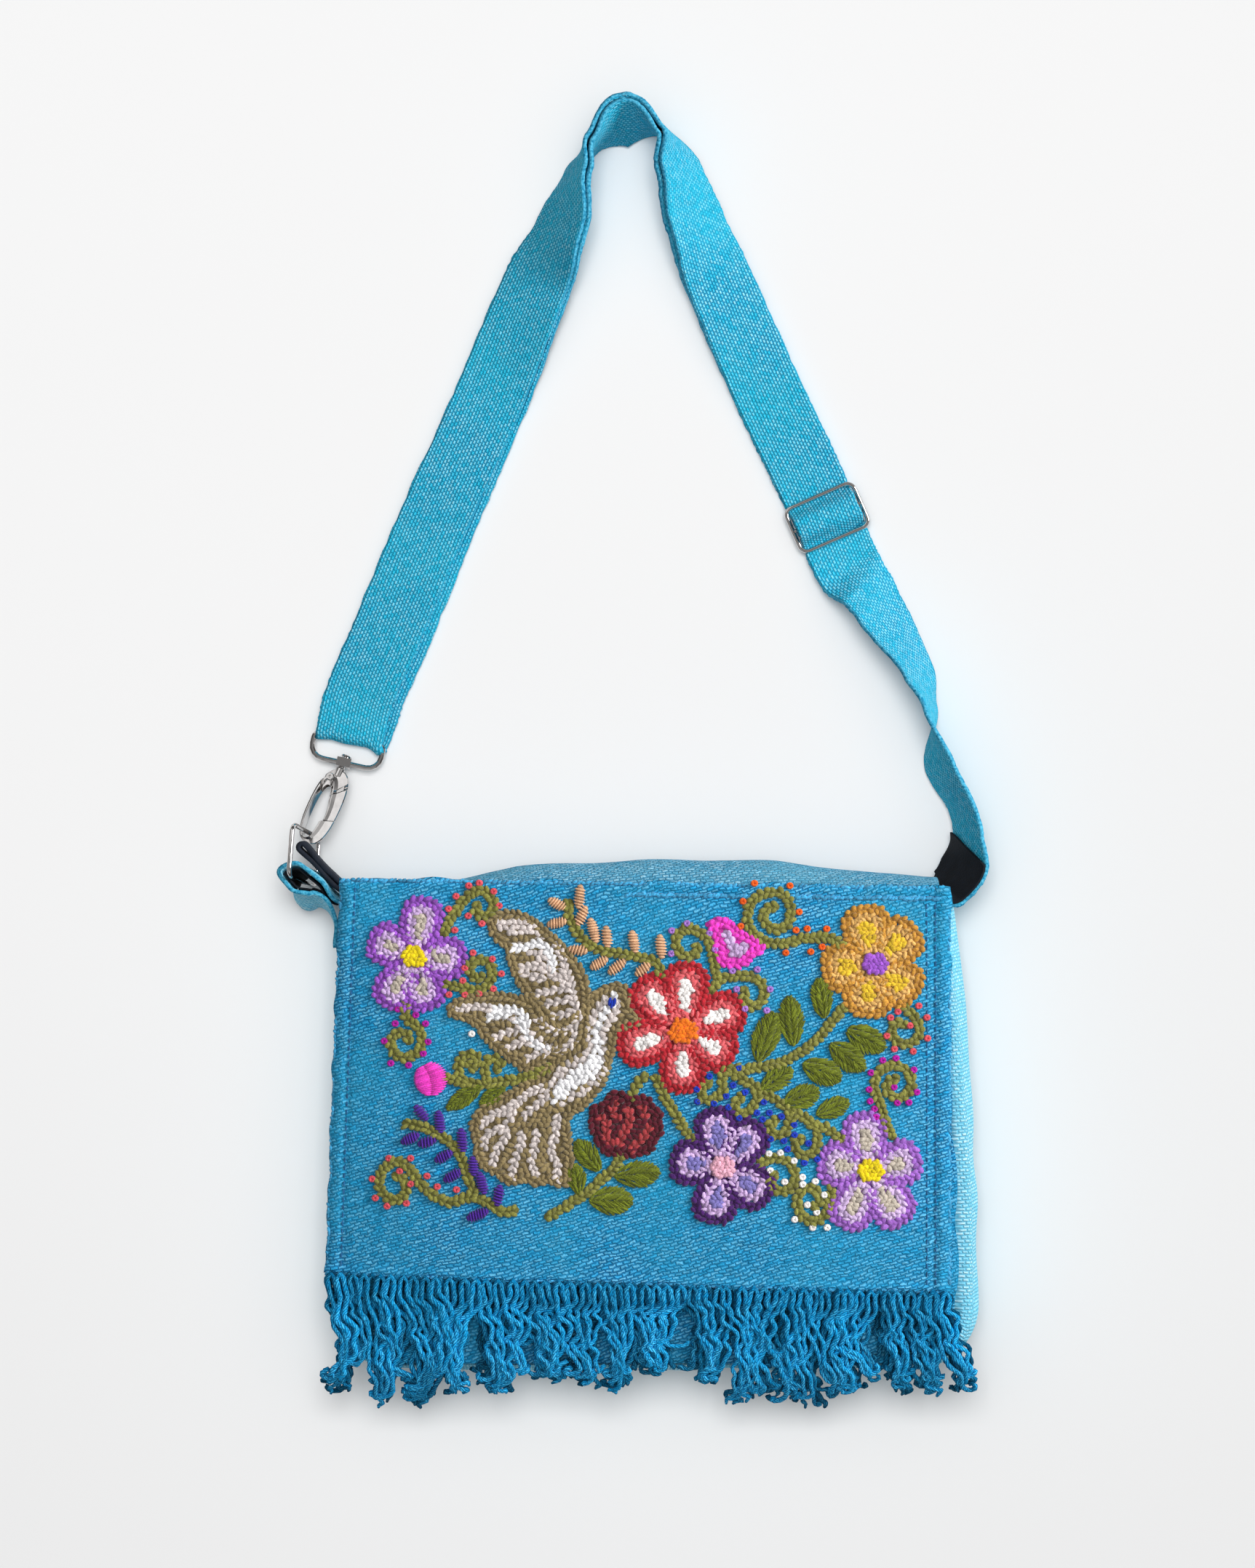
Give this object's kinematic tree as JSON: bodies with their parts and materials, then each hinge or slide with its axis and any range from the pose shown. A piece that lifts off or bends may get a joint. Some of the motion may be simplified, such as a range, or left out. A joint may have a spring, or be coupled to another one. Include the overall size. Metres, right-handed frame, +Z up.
{
  "type": "embroidered shoulder bag",
  "caption": "Flat wool shoulder bag lying on its back, with an embroidered fringed flap, a long webbing strap with a wire slider, and a swivel snap hook clipped to a ring in a side tab.",
  "frame": {"origin": "middle of the back panel's underside, where the bag lies on a surface", "axes": "+Y from the bag's bottom towards the strap, +Z up out of the back through the flap, +X to the right seen from above"},
  "size_m": [0.3447, 0.6365, 0.0565],
  "materials": {
    "wool": "hand-woven heathered wool",
    "gusset_weave": "coarse lighter weave",
    "webbing": "ribbed woven strap",
    "fringe_yarn": "crimped wool yarn",
    "black_leather": "matt black",
    "nickel": "polished nickel"
  },
  "bodies": {
    "bag": {"back_panel": "wool", "front_panel": "wool", "gusset": "gusset_weave", "flap": "wool", "fringe": "fringe_yarn", "strap": "webbing", "strap_patch": "black_leather", "tab_loop": "gusset_weave", "tab_lining": "black_leather", "ring_keeper": "black_leather", "strap_slider": "nickel", "tab_ring": "nickel", "strap_ring": "nickel"},
    "hook": {"snap_hook": "nickel", "gate_rivet": "nickel"},
    "gate": {"hook_gate": "nickel"}
  },
  "joints": [
    {"name": "hook_swivel", "type": "hinge", "parent": "bag", "child": "hook", "pos_m": [-0.14756, 0.172, 0.00622], "axis": [0.3917, 0.8881, -0.2404], "range_deg": [-30, 30]},
    {"name": "gate_hinge", "type": "hinge", "parent": "hook", "child": "gate", "pos_m": [-0.15339, 0.16458, 0.00758], "axis": [0.2301, -0.3476, -0.909], "range_deg": [0, 20], "stiffness_Nm_per_rad": 0.004, "springref_deg": -17.19}
  ]
}
